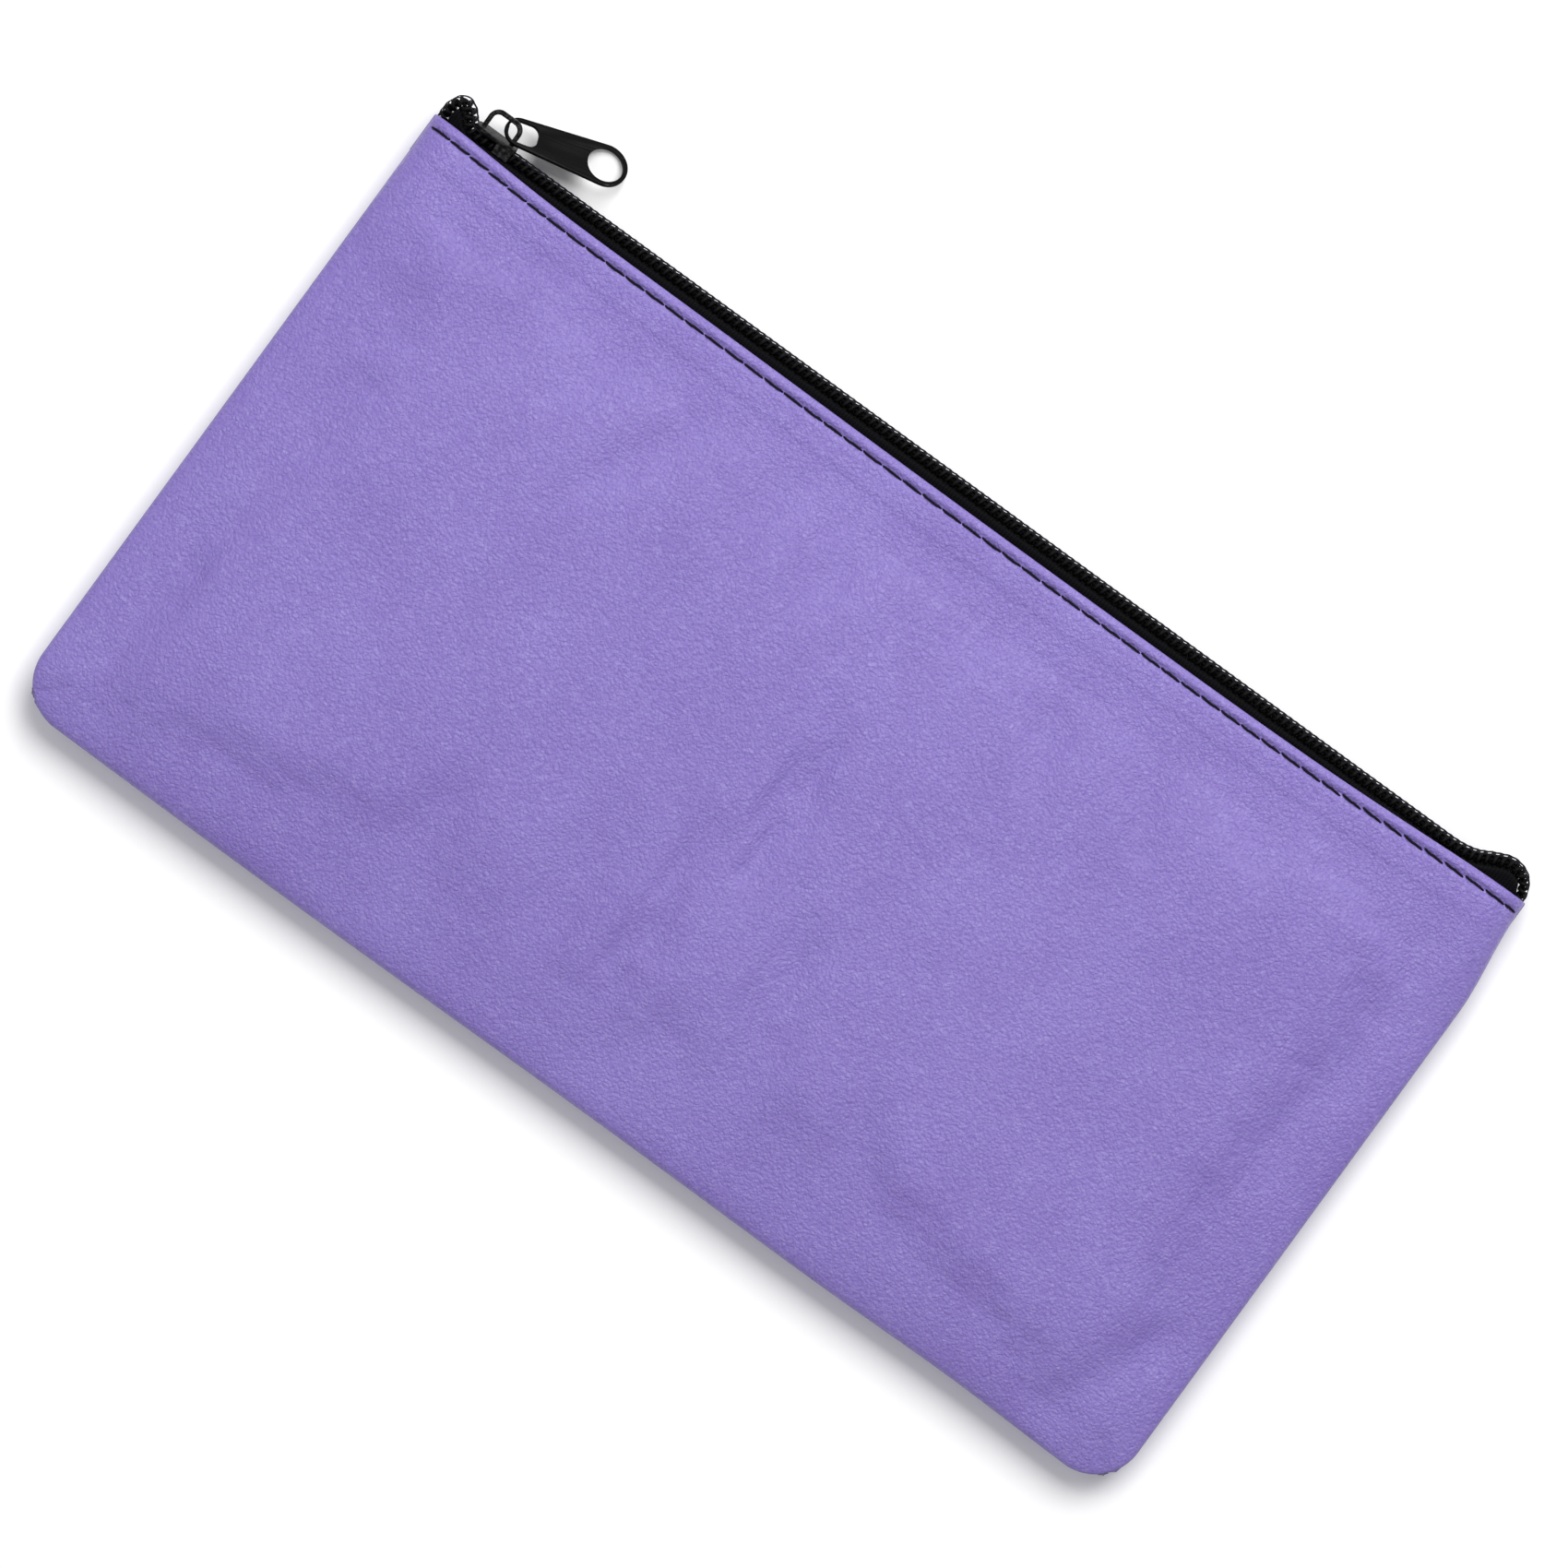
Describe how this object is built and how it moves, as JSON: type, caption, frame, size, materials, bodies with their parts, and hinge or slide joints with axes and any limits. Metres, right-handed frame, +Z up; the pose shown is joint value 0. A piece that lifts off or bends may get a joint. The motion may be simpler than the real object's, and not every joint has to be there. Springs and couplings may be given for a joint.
{
  "type": "zipped cash deposit bag",
  "caption": "Flat zipped leatherette bag for carrying cash deposits, with a coil zip along its top edge, a slider and a pull tab with a round hole.",
  "frame": {"origin": "on the resting face of the back panel, in the middle of the bag's outline", "axes": "+X along the zip, from the slider of the closed bag towards the other end; +Y from the bottom seam to the zip; +Z up, out of the front panel"},
  "size_m": [0.2794, 0.1653, 0.015],
  "materials": {
    "leatherette": "soft purple vinyl leatherette with a fine pebble grain, satin",
    "backing_cloth": "knitted grey backing cloth, matt",
    "black_thread": "twisted black polyester thread",
    "zip_tape": "black woven polyester tape",
    "coil_nylon": "black nylon monofilament, satin",
    "coil_cord": "black braided cord",
    "slider_metal": "die-cast zinc, black enamel",
    "tab_metal": "stamped metal, black enamel, worn at the edges"
  },
  "bodies": {
    "back": {"back_panel": "leatherette", "back_backing": "backing_cloth", "back_topstitch": "black_thread", "back_topstitch_bobbin": "black_thread", "back_seam_stitch": "black_thread", "back_tape": "zip_tape", "back_coil": "coil_nylon", "back_coil_cord": "coil_cord", "back_coil_binding": "black_thread"},
    "front": {"front_panel": "leatherette", "front_backing": "backing_cloth", "front_topstitch": "black_thread", "front_topstitch_bobbin": "black_thread", "front_seam_stitch": "black_thread", "front_tape": "zip_tape", "front_coil": "coil_nylon", "front_coil_cord": "coil_cord", "front_coil_binding": "black_thread"},
    "slider": {"slider_body": "slider_metal"},
    "tab": {"pull_tab": "tab_metal"}
  },
  "joints": [
    {"name": "mouth_open", "type": "hinge", "parent": "back", "child": "front", "pos_m": [0, -0.0762, 0.0078], "axis": [1, 0, 0], "range_deg": [0, 12], "deforming": ["front_tape", "front_coil", "front_coil_cord", "front_coil_binding", "back_tape", "back_coil", "back_coil_cord", "back_coil_binding"]},
    {"name": "slider_slide", "type": "slide", "parent": "back", "child": "slider", "axis": [1, 0, 0], "range_m": [0, 0.242]},
    {"name": "pull_tab_flip", "type": "hinge", "parent": "slider", "child": "tab", "pos_m": [-0.1262, 0.07887, 0.00874], "axis": [0, -0.2079, 0.9781], "range_deg": [-1, 100]}
  ],
  "couplings": [
    {"joint": "slider_slide", "follows": "mouth_open", "m_per_rad": 1.1554}
  ]
}
